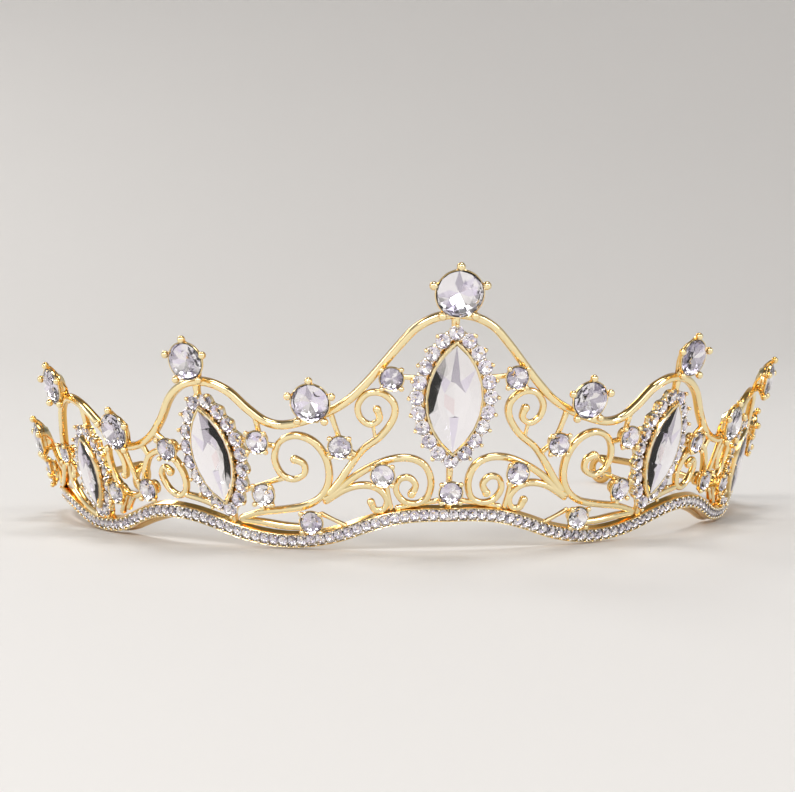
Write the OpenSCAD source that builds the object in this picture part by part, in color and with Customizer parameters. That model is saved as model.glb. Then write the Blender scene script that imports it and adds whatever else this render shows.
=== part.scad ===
// Diadem: an openwork metal crown bent round a ring, set with pointed-oval and round cut stones,
// on a wavy base band of small stones, with two head arms that end in wire loops.
// Z is up and the sizes are in millimetres. The origin is on the floor under the middle of the
// diadem, and the centre stone faces minus Y. A place on the crown is an angle round the ring,
// a height and, where it stands off the pattern, a distance out.

/* [Ring] */
// half the width of the ring at the floor
ring_r = 64; // [62:0.5:67]
// depth of the ring as a share of its width
ring_depth = 0.94; // [0.92:0.01:1]
// outward lean of the pattern, degrees
lean = 14; // [12:1:16]

/* [Metal] */
// radius of the top rail
rail_r = 0.8; // [0.7:0.05:0.9]
// radius of the scroll wires
scroll_r = 0.68; // [0.6:0.01:0.72]
// height of the base band
band_h = 2.8; // [2.7:0.1:3]
// how far the base band reaches behind the pattern
band_back = 1.1; // [1:0.05:1.2]
// thickness of the plates under the halos
plate_t = 1.2; // [1:0.1:1.3]

/* [Stones] */
// diameter of the top stone
top_d = 7.8; // [7.4:0.1:8]
// diameter of the other crest stones
crest_d = 6.4; // [6:0.1:6.6]
// diameter of the accent stones
accent_d = 3.8; // [3.6:0.1:3.9]
// diameter of the halo stones
halo_d = 1.9; // [1.7:0.1:2]
// width across the corners of a band stone
pave_d = 1.44; // [1.3:0.02:1.5]
// number of sides of a crest stone, twice the number of its claws
crest_sides = 10; // [8, 10, 12]

/* [Head arms] */
// height of the arm strip
arm_h = 2.4; // [2:0.1:2.6]
// thickness of the arm strip
arm_t = 0.8; // [0.6:0.1:0.9]
// radius of the end wire
wire_r = 0.75; // [0.65:0.05:0.8]
// radius of the end loop, to the middle of its wire
loop_r = 2.4; // [2.2:0.1:2.6]

/* [Hidden] */
gold = [0.86, 0.7, 0.42];
gold_dark = [0.72, 0.55, 0.3];
clear = [0.86, 0.86, 0.92];
ring_back = 18.4;                // the middle of the ring lies this far behind the origin
accent_sides = 8;
gap = 0.12;                      // kept between a stone and its metal
halo_grow = [1.75, 1.85];        // halo line beyond the pointed oval, across and along
halo_bow = 1.25;                 // how pointed the halo line is
plate_bead = [1.15, 1.3];        // plate beyond the halo line at a bead, across and along
plate_dip = [0.5, 0.6];          // and between two beads
plate_open = [0.45, 0.9];        // how much smaller than the oval the plate's opening is
rim = 0.45;                      // rims of the base band
channel_d = 0.1;                 // floor of the channel, out from the pattern
band_front = 0.7;                // front of the rims, out from the pattern
pave_t = 0.62;                   // thickness of a band stone
pave_pitch = 1.64;
crest_seat = 2.3;                // underside of a crest stone's girdle, out from the pattern
crest_claw = [1.2, 0.9];         // how far out and how high a claw's end stands
accent_seat = 1.6;
accent_claw = [0.2, 0.9];
brace_in = 1.45;                 // middle of the brace, in from the pattern
arm_r = ring_r - band_back + 0.05; // outer face of the arm strip, just clear of the band
arm_tilt = 3.4;                  // the arms rise to the back, degrees
arm_from = 64;
arm_to = 96;
wire_from = 91;
wire_to = 127;
wire_line = arm_r - arm_t / 2;   // middle of the end wire from the middle of the ring
// middle of the arm strip above the floor at the ring's widest, so that the loops stand on the floor
arm_up = 2 * loop_r + wire_r + ring_depth * wire_line * cos(wire_to) * tan(arm_tilt);

// rows: angle, height, radius
rail_rows = [
    [0, 40.3, 1], [2.6, 39.7, 1], [5.1, 38, 1], [7.3, 35.1, 1], [9.4, 32, 1], [11.7, 28.8, 1],
    [14.3, 25.8, 1], [17.3, 23.7, 1], [20.8, 22.2, 1], [23.9, 21.5, 1], [26.4, 22.2, 1],
    [28.8, 24.3, 1], [31.5, 27.2, 1], [34.8, 28.6, 1], [38.2, 28.1, 1], [41, 25.8, 1],
    [43.4, 21.8, 1], [45.9, 18.8, 1], [48.8, 17, 1], [51.7, 16.5, 1], [54.7, 17.5, 1],
    [58, 20.4, 1], [61.6, 23.2, 1], [65.4, 24.2, 1], [68.8, 22.4, 1], [71.3, 18, 1],
    [73.6, 13, 1], [76.4, 9.6, 1], [79.6, 7.4, 0.9], [83, 6.3, 0.8]];
// rows: angle, height of the band's lower edge
band_rows = [
    [0, 4.9], [4, 4.9], [8, 4.4], [12, 3.1], [16, 1.5], [20, 0.5], [24, 0.15], [28, 0.5], [32, 1.4],
    [36, 2.8], [40, 3.9], [44, 4.3], [48, 3.9], [52, 2.5], [56, 0.9], [60, 0.25], [64, 0.15], [68, 0.7],
    [73, 2.0], [78, 3.1], [84, 3.4], [90, 2.9], [95, 2.2]];
// rows: angle, height, radius, as a share of scroll_r
scroll_a = [
    [31.5, 5.2, 1], [28.2, 6.3, 1.05], [24.5, 6.9, 1.1], [21, 7.7, 1.15], [18.6, 9.5, 1.15],
    [17.4, 12.4, 1.15], [17.7, 16, 1.15], [19.4, 18.8, 1.15], [22, 19.8, 1.1], [24.4, 18.5, 1],
    [25.3, 15.7, 1], [24.5, 13.1, 1], [22.7, 12.2, 0.95], [21, 13.2, 0.95], [21, 14.9, 1],
    [22.3, 15.7, 1.2]];
scroll_b = [
    [17.4, 9.9, 1.2], [16, 11.8, 1.2], [14.2, 14.8, 1.15], [12.3, 17.6, 1.1], [9.8, 19.9, 1.1],
    [8.1, 22.8, 1.1], [8, 25.3, 1.1], [9.6, 27.1, 1.05], [11.6, 27, 1], [12.9, 25, 1],
    [12.6, 22.9, 0.95], [11.3, 21.8, 0.95], [10, 22.7, 1], [10.3, 24.4, 1.2]];
scroll_c = [
    [18, 9, 1.2], [16.4, 10.2, 1.15], [14, 12.6, 1.15], [11.2, 14.6, 1.1], [8.3, 15.9, 1.1],
    [5.6, 16, 1.1], [3.6, 14.7, 1.1], [2.7, 12, 1.1], [3.2, 9.3, 1.05], [4.8, 8.2, 1],
    [6.6, 8.6, 1], [7.7, 10.4, 0.95], [7.3, 12.3, 0.95], [5.9, 12.7, 1], [4.9, 11.4, 1],
    [5.5, 9.9, 1.2]];
scroll_d = [
    [18, 8.6, 1.1], [15, 10.7, 1.1], [12.4, 11.4, 1.1], [10.3, 10.8, 1.1], [9.1, 9, 1],
    [9.5, 7.3, 0.95], [10.8, 7.1, 1], [11.4, 8.5, 1.15]];
scroll_e = [
    [53.8, 7.8, 1], [51.4, 7.7, 1.05], [49.4, 9.2, 1.1], [48.6, 12.2, 1.1], [47.1, 15, 1.1],
    [44.6, 16.1, 1.1], [42.2, 14.9, 1.1], [40.8, 12.2, 1.05], [40.9, 9.5, 1], [42.4, 8.4, 1],
    [44.2, 9.5, 1], [45.2, 11.9, 0.95], [44.4, 13.3, 0.95], [43.3, 12.5, 1.2]];
scroll_f = [
    [53.8, 7.8, 1.1], [55.8, 9.8, 1.1], [56.8, 12.6, 1.1], [56.7, 15.2, 1.1], [55.3, 16.5, 1],
    [53.9, 15.6, 1], [53.1, 13.2, 1], [53.5, 11.2, 1.2]];
scroll_g = [
    [64.6, 3, 1.1], [68.4, 4.2, 1.1], [71.5, 6.5, 1.1], [72.8, 9.4, 1], [71.8, 11.8, 0.9],
    [70.3, 11.2, 0.9], [70.6, 9.7, 1.3]];
scroll_h = [[76, 9.6, 1.1], [79, 11, 1.1], [82, 13.6, 1.1]];
// leaves above the band, either side of the pointed oval
leaf_a = [[31.4, 4.8, 1], [28, 4.5, 1.1], [24.4, 4, 1.1], [21.2, 3.9, 0.9]];
leaf_b = [[40.8, 8.6, 1], [38, 8, 1.1], [35, 6.8, 1]];
// bars: from angle and height to angle and height, radius as a share of scroll_r
bars = [
    [4.6, 29.6, 8.2, 30, 0.9], [15.4, 18.4, 17.7, 16.2, 0.9], [15.4, 18.4, 13.2, 16.4, 0.9],
    [15.4, 18.4, 16.7, 23.6, 0.9], [24.8, 17.8, 30.6, 19, 0.9], [27.2, 19, 27.6, 22.8, 0.9],
    [24, 12.5, 31.2, 9.8, 0.9], [9.2, 12, 8.5, 7.5, 0.8], [18.8, 6.3, 15.6, 5.1, 0.7],
    [39.4, 16.8, 42.2, 17, 0.9], [42.2, 17, 45, 19.2, 0.9], [47.2, 15, 48.2, 16.8, 0.9],
    [52.7, 16.2, 50.6, 9.2, 0.9], [54, 7.8, 56.3, 4.4, 1], [66.2, 13.6, 69.2, 14, 0.9],
    [69.2, 14, 72.6, 15.2, 0.9], [85, 6.4, 85.2, 9, 1], [89.6, 6, 90, 7, 1]];

// stems: angle, height from, height to, radius
stem_rows = [
    [0, 36.5, 40.8, 0.9], [0, 7, 15.6, 0.7], [36.5, 25.2, 29, 0.8], [33.2, 4.3, 7.6, 0.8],
    [62.2, 18, 24, 0.8], [61.2, 2.8, 5.2, 0.8]];
// brace behind the band's lower edge: angle, height, radius
brace_rows = [[46, 4.3, 0.65], [50, 3.1, 0.65], [55, 1.3, 0.65], [59, 0.6, 0.65]];

// top stone: height, how far below the stone its basket meets the rail
top_row = [44.2, 3.9];
// height of the accent stone on the centre line
centre_accent_h = 10.5;
// crest stones: angle, height, how far below the stone its basket meets the rail
crest_rows = [[19, 26.1, 3.4], [36.1, 32.7, 4.2], [51.6, 19.8, 3.2], [66, 26.9, 3], [82, 15.8, 2.4]];
// accent stones: angle, height
accent_rows = [
    [8.3, 30], [15.4, 18.4], [9.6, 13.6], [20.1, 5.3], [27.2, 19], [27, 9.9], [42.2, 17],
    [47.4, 9.5], [55, 8.3], [69.2, 14], [85.2, 9.9], [90.2, 7.6]];
// pointed ovals with halos: angle, height, half width, half length, tilt, halo stones, and the
// first stone's place as a share of a step from the upper tip
oval_rows = [
    [0, 26.5, 4.5, 9.3, 0, 20, 0],
    [34.5, 16.3, 3.5, 8.1, 9.8, 17, 0.5],
    [61.7, 11.3, 3, 6, 3, 14, 0.5]];

// node to draw, or all of them

// a place on the crown in space
function spot(a, h, d = 0) =
    let (r = ring_r + h * tan(lean), out = d * cos(lean))
    [(r + out) * sin(a), ring_back - (ring_depth * r + out) * cos(a), h - d * sin(lean)];
function facing(a) = [cos(lean) * sin(a), -cos(lean) * cos(a), -sin(lean)];
function unit(v) = v / norm(v);

// a smooth line through rows, with n steps between two rows, but one step before row from
function bend(p, q, r, s, t) =
    0.5 * (2 * q + (r - p) * t + (2 * p - 5 * q + 4 * r - s) * t * t + (3 * q - p - 3 * r + s) * t * t * t);
function smooth(rows, n, from = 0) =
    let (last = len(rows) - 1)
    concat(
        [for (i = [0 : last - 1]) let (m = i < from ? 1 : n) for (j = [0 : m - 1])
            bend(rows[max(i - 1, 0)], rows[i], rows[i + 1], rows[min(i + 2, last)], j / m)],
        [rows[last]]);
// the same line on both sides of the centre, from left to right
function both_sides(rows) =
    concat(
        [for (i = [len(rows) - 1 : -1 : 1]) let (row = rows[i])
            concat([-row[0]], [for (k = [1 : len(row) - 1]) row[k]])],
        rows);

// a solid through rings of points, each with as many points and turning left seen from its end
module skin(rings) {
    n = len(rings);
    k = len(rings[0]);
    polyhedron(
        points = [for (ring = rings, p = ring) p],
        faces = concat(
            [[for (j = [0 : k - 1]) j]],
            [[for (j = [k - 1 : -1 : 0]) (n - 1) * k + j]],
            [for (i = [0 : n - 2], j = [0 : k - 1])
                [(i + 1) * k + j, (i + 1) * k + (j + 1) % k, i * k + (j + 1) % k, i * k + j]]));
}
function round_section(sides) =
    [for (i = [0 : sides - 1]) let (t = 360 * (i + 0.5) / sides) [cos(t), sin(t)]];

// a run of metal along rows of angle, height and size; the section's first way is up the crown
module run(rows, section, out_by = 0) {
    last = len(rows) - 1;
    skin([for (i = [0 : last])
        let (
            row = rows[i],
            here = spot(row[0], row[1], out_by),
            back = rows[max(i - 1, 0)],
            next = rows[min(i + 1, last)],
            way = unit(spot(next[0], next[1]) - spot(back[0], back[1])),
            up = unit(cross(facing(row[0]), way)),
            out = cross(way, up))
        [for (p = section) here + row[2] * (p[0] * up + p[1] * out)]]);
}
module wire(rows, n, r, sides, from = 0) {
    run([for (row = smooth(rows, n, from)) [row[0], row[1], row[2] * r]], round_section(sides));
}
// an upright stem
module stem(a, low, high, r) {
    run([[a, low, r], [a, high, r]], round_section(4));
}

// moves a piece drawn round Z to a place on the crown, facing out
module on_crown(a, h, d = 0) {
    translate(spot(a, h, d)) rotate([90 + lean, 0, a]) children();
}
module bar(b) {
    r = b[4] * scroll_r;
    hull() {
        on_crown(b[0], b[1], -r) cylinder(r = r, h = 2 * r, $fn = 4);
        on_crown(b[2], b[3], -r) cylinder(r = r, h = 2 * r, $fn = 4);
    }
}
module pair_up() {
    children();
    mirror([1, 0, 0]) children();
}

// rings of a cut stone: an outline scaled and lifted; rows: share of the outline, height
function cut(outline, rows) = [for (row = rows) [for (p = outline) [p[0] * row[0], p[1] * row[0], row[1]]]];
function circle_line(r, sides, start = 0) =
    [for (i = [0 : sides - 1]) let (t = start + 360 * i / sides) [r * cos(t), r * sin(t)]];
// pointed oval with n points a side
function oval_line(w, l, n) =
    let (big = (l * l + w * w) / (2 * w), turn = asin(l / big))
    [for (side = [0, 1], i = [0 : n - 1])
        let (t = turn * (2 * i / n - 1), x = big * cos(t) - big + w, y = big * sin(t))
        side == 0 ? [x, y] : [-x, -y]];

// the line of a halo round a pointed oval, and n places spread evenly on it
function halo_point(w, l, t) =
    [w * sign(sin(t)) * pow(abs(sin(t)), halo_bow), l * sign(cos(t)) * pow(abs(cos(t)), halo_bow)];
function halo_lengths(w, l, t = 0, sum = 0) =
    t > 360 ? [] : concat([[sum, t]],
        halo_lengths(w, l, t + 6, sum + norm(halo_point(w, l, t + 6) - halo_point(w, l, t))));
function halo_turns(w, l, n, start) =
    let (table = halo_lengths(w, l), all = table[len(table) - 1][0])
    [for (i = [0 : n - 1]) lookup((i + start + n) % n * all / n, table)];

module round_stone(d, sides, start) {
    skin(cut(circle_line(d / 2, sides, start), [[0.5, -0.22 * d], [1, 0], [0.58, 0.22 * d]]));
}
module oval_stone(o) {
    on_crown(o[0], o[1]) rotate([0, 0, -o[4]])
        skin(cut(oval_line(o[2], o[3], 6), [[0.55, 0.1], [1, 1.6], [0.5, 2.9]]));
}
module halo_stones(o) {
    w = o[2] + halo_grow[0];
    l = o[3] + halo_grow[1];
    on_crown(o[0], o[1], plate_t / 2 + gap) rotate([0, 0, -o[4]])
        for (t = halo_turns(w, l, o[5], o[6]))
            translate(halo_point(w, l, t)) skin(cut(circle_line(halo_d / 2, 8), [[1, 0], [0.55, 0.75]]));
}
// a plate with a bead of metal outside each halo stone and an opening behind the oval
module halo_plate(o) {
    w = o[2] + halo_grow[0];
    l = o[3] + halo_grow[1];
    dips = halo_turns(w, l, o[5], o[6] - 0.5);
    beads = halo_turns(w, l, o[5], o[6]);
    on_crown(o[0], o[1], -plate_t / 2) rotate([0, 0, -o[4]])
        linear_extrude(plate_t) difference() {
            polygon([for (i = [0 : o[5] - 1], bead = [0, 1])
                bead == 1 ? halo_point(w + plate_bead[0], l + plate_bead[1], beads[i])
                    : halo_point(w + plate_dip[0], l + plate_dip[1], dips[i])]);
            polygon(oval_line(o[2] - plate_open[0], o[3] - plate_open[1], 6));
        }
}
// rings of a cup round a stone of radius r, with a claw at every second corner, its first at start;
// claw: how far out, how high
function cup_ring(sides, start, radius, z, reach = 0, rise = 0, drop = 0) =
    [for (i = [0 : sides - 1])
        let (t = start + 360 * i / sides, out = radius + (i % 2 == 0 ? reach : 0))
        [out * cos(t), out * sin(t) - drop, z + (i % 2 == 0 ? rise : 0)]];
function cup_top(r, sides, start, seat, claw) = [
    cup_ring(sides, start, r + gap + 0.3, seat - 0.12, claw[0], claw[1]),
    cup_ring(sides, start, r + gap, seat - 0.12),
    cup_ring(sides, start, 0.5 * r + gap + 0.15, seat - 0.44 * r - gap)];
// a basket that tapers down to the rail, drop below the stone
module crest_cup(a, h, d, drop) {
    on_crown(a, h) skin(concat(
        [cup_ring(crest_sides, 90, 0.85, -0.3, 0, 0, drop),
            cup_ring(crest_sides, 90, 0.38 * d, 0.4, 0, 0, 0.08 * d)],
        cup_top(d / 2, crest_sides, 90, crest_seat, crest_claw)));
}
module accent_cup(a, h) {
    on_crown(a, h) skin(concat(
        [cup_ring(accent_sides, 45, 0.42 * accent_d, -0.35)],
        cup_top(accent_d / 2, accent_sides, 45, accent_seat, accent_claw)));
}
module crest_stone(a, h, d) {
    on_crown(a, h, crest_seat) round_stone(d, crest_sides, 90);
}
module accent_stone(a, h) {
    on_crown(a, h, accent_seat) round_stone(accent_d, accent_sides, 45);
}

// middle line of the base band, and places along it a set length apart
band_middle = [for (row = band_rows) [row[0], row[1] + band_h / 2, 1]];
function band_walk(line, i = 0, sum = 0) =
    i >= len(line) ? [] : concat([[sum, line[i][0], line[i][1]]],
        band_walk(line, i + 1, i + 1 < len(line)
            ? sum + norm(spot(line[i + 1][0], line[i + 1][1]) - spot(line[i][0], line[i][1])) : sum));
module band_stones() {
    walk = band_walk(band_middle);
    angles = [for (w = walk) [w[0], w[1]]];
    heights = [for (w = walk) [w[0], w[2]]];
    whole = walk[len(walk) - 1][0];
    for (s = [pave_pitch / 2 : pave_pitch : whole - pave_d / 2])
        on_crown(lookup(s, angles), lookup(s, heights), channel_d + gap)
            rotate([0, 0, 22.5]) cylinder(r = pave_d / 2, h = pave_t, $fn = 8);
}
module base_band() {
    half = band_h / 2;
    run(both_sides(band_middle), [
        [half, band_front], [half - rim, band_front], [half - rim, channel_d], [rim - half, channel_d],
        [rim - half, band_front], [-half, band_front], [-half, -band_back], [half, -band_back]]);
}

module crown_frame() {
    color(gold) union() {
        base_band();
        wire(both_sides(rail_rows), 1, rail_r, 6);
        for (o = oval_rows) {
            halo_plate(o);
            if (o[0] > 0) mirror([1, 0, 0]) halo_plate(o);
        }
        crest_cup(0, top_row[0], top_d, top_row[1]);
        accent_cup(0, centre_accent_h);
        pair_up() {
            for (s = stem_rows) stem(s[0], s[1], s[2], s[3]);
            wire(scroll_a, 2, scroll_r, 4, 12);
            wire(scroll_b, 2, scroll_r, 4, 10);
            wire(scroll_c, 2, scroll_r, 4, 12);
            wire(scroll_d, 1, scroll_r, 4);
            wire(scroll_e, 2, scroll_r, 4, 10);
            wire(scroll_f, 1, scroll_r, 4);
            wire(scroll_g, 1, scroll_r, 4);
            wire(scroll_h, 1, scroll_r, 4);
            for (b = bars) bar(b);
            wire(leaf_a, 1, scroll_r, 4);
            wire(leaf_b, 1, scroll_r, 4);
            run(brace_rows, round_section(4), -brace_in);
            for (c = crest_rows)
                crest_cup(c[0], c[1], crest_d, c[2]);
            for (c = accent_rows) accent_cup(c[0], c[1]);
        }
    }
}

// one head arm: a strip behind the base band, an end wire and a loop that stands on the floor
module arm() {
    color(gold_dark) translate([0, ring_back, arm_up]) rotate([arm_tilt, 0, 0]) {
        scale([1, ring_depth, 1]) rotate([0, 0, arm_from - 90])
            rotate_extrude(angle = arm_to - arm_from, $fn = 96)
            translate([arm_r - arm_t, -arm_h / 2]) square([arm_t, arm_h]);
        scale([1, ring_depth, 1]) rotate([0, 0, wire_from - 90])
            rotate_extrude(angle = wire_to - wire_from, $fn = 96)
            translate([wire_line, 0]) circle(r = wire_r, $fn = 24);
        translate([wire_line * sin(wire_to), -ring_depth * wire_line * cos(wire_to), -loop_r])
            rotate([0, 0, wire_to]) rotate([90, 0, 0])
            rotate_extrude($fn = 48) translate([loop_r, 0]) circle(r = wire_r, $fn = 24);
    }
}
module right_arm() arm();
module left_arm() mirror([1, 0, 0]) arm();

module one_oval(i, left) color(clear) mirror([left ? 1 : 0, 0, 0]) oval_stone(oval_rows[i]);
module one_halo(i, left) color(clear) mirror([left ? 1 : 0, 0, 0]) halo_stones(oval_rows[i]);
module one_crest(i, left) color(clear) mirror([left ? 1 : 0, 0, 0])
    crest_stone(crest_rows[i - 1][0], crest_rows[i - 1][1], crest_d);
module one_accent(i, left) color(clear) mirror([left ? 1 : 0, 0, 0])
    accent_stone(accent_rows[i - 1][0], accent_rows[i - 1][1]);

module centre_oval() one_oval(0, false);
module left_oval_1() one_oval(1, true);
module left_oval_2() one_oval(2, true);
module right_oval_1() one_oval(1, false);
module right_oval_2() one_oval(2, false);
module centre_halo() one_halo(0, false);
module left_halo_1() one_halo(1, true);
module left_halo_2() one_halo(2, true);
module right_halo_1() one_halo(1, false);
module right_halo_2() one_halo(2, false);
module left_band_stones() color(clear) mirror([1, 0, 0]) band_stones();
module right_band_stones() color(clear) band_stones();
module top_stone() color(clear) crest_stone(0, top_row[0], top_d);
module left_crest_1() one_crest(1, true);
module left_crest_2() one_crest(2, true);
module left_crest_3() one_crest(3, true);
module left_crest_4() one_crest(4, true);
module left_crest_5() one_crest(5, true);
module right_crest_1() one_crest(1, false);
module right_crest_2() one_crest(2, false);
module right_crest_3() one_crest(3, false);
module right_crest_4() one_crest(4, false);
module right_crest_5() one_crest(5, false);
module centre_accent() color(clear) accent_stone(0, centre_accent_h);
module left_accent_1() one_accent(1, true);
module left_accent_2() one_accent(2, true);
module left_accent_3() one_accent(3, true);
module left_accent_4() one_accent(4, true);
module left_accent_5() one_accent(5, true);
module left_accent_6() one_accent(6, true);
module left_accent_7() one_accent(7, true);
module left_accent_8() one_accent(8, true);
module left_accent_9() one_accent(9, true);
module left_accent_10() one_accent(10, true);
module left_accent_11() one_accent(11, true);
module left_accent_12() one_accent(12, true);
module right_accent_1() one_accent(1, false);
module right_accent_2() one_accent(2, false);
module right_accent_3() one_accent(3, false);
module right_accent_4() one_accent(4, false);
module right_accent_5() one_accent(5, false);
module right_accent_6() one_accent(6, false);
module right_accent_7() one_accent(7, false);
module right_accent_8() one_accent(8, false);
module right_accent_9() one_accent(9, false);
module right_accent_10() one_accent(10, false);
module right_accent_11() one_accent(11, false);
module right_accent_12() one_accent(12, false);

crown_frame();
left_arm();
right_arm();
centre_oval();
left_oval_1();
left_oval_2();
right_oval_1();
right_oval_2();
centre_halo();
left_halo_1();
left_halo_2();
right_halo_1();
right_halo_2();
left_band_stones();
right_band_stones();
top_stone();
left_crest_1();
left_crest_2();
left_crest_3();
left_crest_4();
left_crest_5();
right_crest_1();
right_crest_2();
right_crest_3();
right_crest_4();
right_crest_5();
centre_accent();
left_accent_1();
left_accent_2();
left_accent_3();
left_accent_4();
left_accent_5();
left_accent_6();
left_accent_7();
left_accent_8();
left_accent_9();
left_accent_10();
left_accent_11();
left_accent_12();
right_accent_1();
right_accent_2();
right_accent_3();
right_accent_4();
right_accent_5();
right_accent_6();
right_accent_7();
right_accent_8();
right_accent_9();
right_accent_10();
right_accent_11();
right_accent_12();
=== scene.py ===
"""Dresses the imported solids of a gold-coloured diadem: the openwork crown, its settings, its cut
stones, the head arms and the stage. Tables and lengths are in millimetres and degrees, as in the
part's source, and every mesh is written in metres."""
import math
import random
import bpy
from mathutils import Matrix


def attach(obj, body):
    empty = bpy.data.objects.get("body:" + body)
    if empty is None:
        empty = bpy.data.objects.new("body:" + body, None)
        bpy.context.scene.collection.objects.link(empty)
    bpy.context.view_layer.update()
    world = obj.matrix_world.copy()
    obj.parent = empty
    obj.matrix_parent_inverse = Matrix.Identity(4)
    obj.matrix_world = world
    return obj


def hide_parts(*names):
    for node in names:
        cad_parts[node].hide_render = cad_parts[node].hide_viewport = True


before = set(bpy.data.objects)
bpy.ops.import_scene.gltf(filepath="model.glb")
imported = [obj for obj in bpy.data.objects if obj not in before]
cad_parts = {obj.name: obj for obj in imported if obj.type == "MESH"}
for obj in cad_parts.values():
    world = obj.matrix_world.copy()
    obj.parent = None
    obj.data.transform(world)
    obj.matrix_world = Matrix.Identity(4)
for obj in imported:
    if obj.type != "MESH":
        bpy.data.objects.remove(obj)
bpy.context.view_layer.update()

from types import SimpleNamespace

import bpy
from bpy.props import FloatProperty, FloatVectorProperty, IntProperty, PointerProperty
from mathutils import Matrix, Vector

bl_info = {
    "name": "Diadem",
    "version": (1, 0, 0),
    "blender": (4, 5, 0),
    "location": "3D View > Sidebar > Diadem",
    "description": "Makes the crown, settings, cut stones and head arms of a diadem",
    "category": "Add Mesh",
}

MM = 0.001
UP = Vector((0, 0, 1))
RING = 64.0  # half the width of the ring at the floor
RING_DEPTH = 0.94  # depth of the ring as a share of its width
RING_BACK = 18.4  # the middle of the ring lies this far behind the origin
LEAN = math.radians(14)  # outward lean of the pattern
HALO_GROW = (1.75, 1.85)  # halo line beyond the pointed oval, across and along
HALO_BOW = 1.25  # how pointed the halo line is
# undersides of the girdles, out from the pattern
CREST_SEAT, ACCENT_SEAT, OVAL_SEAT, HALO_SEAT, BAND_SEAT = 2.3, 1.6, 1.6, 0.72, 0.42
BAND_STONES = 64  # on each side
BAND_SLACK = 0.15  # share of a stone's step left free at the band's end
GRAIN_UP = 0.84  # a band grain stands this far from the band's middle
CHANNEL_LIP = 0.3  # width of the band's rim, and half the width of its bead
RIM_BEAD = 0.13
CORNER = 0.25  # bevel of the band's back
PLATE_BACK, PLATE_FACE = -0.6, -0.05  # heights of the plate behind a halo
PLATE_IN = 1.25  # the plate reaches this far inside the halo line
PLATE_EDGE, SCALLOP = 0.35, 0.62  # its edge beyond the line between beads, and more at a bead
# wall round a pointed oval, from its foot up and over: how far beyond the oval, height
OVAL_WALL = (
    (0.42, -0.6), (0.42, 1.35), (0.3, 1.62), (0.16, 1.66), (0.07, 1.5), (0.07, -0.25),
    (-0.45, -0.25), (-0.45, -0.6))
WALL_POINTS = 20  # on each side of the oval
SHARP_ANGLE = 40  # edges of the metal that turn more than this stay sharp
# cuts: height above the girdle and depth below it, in shares of the diameter for round stones
CENTRE_CUT, SIDE_CUT = (0.62, 0.5), (0.3, 0.36)
OVAL_GIRDLE, OVAL_TABLE = 0.15, 0.55
ROUND_CROWN, ROUND_GIRDLE, ROUND_DEPTH, SMALL_DEPTH = 0.1, 0.03, 0.17, 0.2
FOILS = ("foil", "foil_lilac", "foil_grey", "foil_rose")
# foils of a pointed oval's outer and inner facets, from its lower tip up the right side: painted
# reflections, grey, lilac and rose set on chosen facets in place of the dark and tinted
# reflections
OVAL_PAINTED_REFLECTIONS = ((2, 1, 1, 2, 3, 2, 1, 1), (3, 1, 1, 3, 3, 1, 4, 1))

# rows: angle, height, radius as a share where it is not 1
RAIL = [
    (0, 40.3), (2.6, 39.7), (5.1, 38), (7.3, 35.1), (9.4, 32), (11.7, 28.8),
    (14.3, 25.8), (17.3, 23.7), (20.8, 22.2), (23.9, 21.5), (26.4, 22.2),
    (28.8, 24.3), (31.5, 27.2), (34.8, 28.6), (38.2, 28.1), (41, 25.8),
    (43.4, 21.8), (45.9, 18.8), (48.8, 17), (51.7, 16.5), (54.7, 17.5),
    (58, 20.4), (61.6, 23.2), (65.4, 24.2), (68.8, 22.4), (71.3, 18),
    (73.6, 13), (76.4, 9.6), (79.6, 7.4, 0.9), (83, 6.3, 0.8),
]
# rows: angle, height of the band's lower edge
BAND = [
    (0, 4.9), (4, 4.9), (8, 4.4), (12, 3.1), (16, 1.5), (20, 0.5), (24, 0.15), (28, 0.5),
    (32, 1.4), (36, 2.8), (40, 3.9), (44, 4.3), (48, 3.9), (52, 2.5), (56, 0.9), (60, 0.25),
    (64, 0.15), (68, 0.7), (73, 2.0), (78, 3.1), (84, 3.4), (90, 2.9), (95, 2.2),
]
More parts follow.
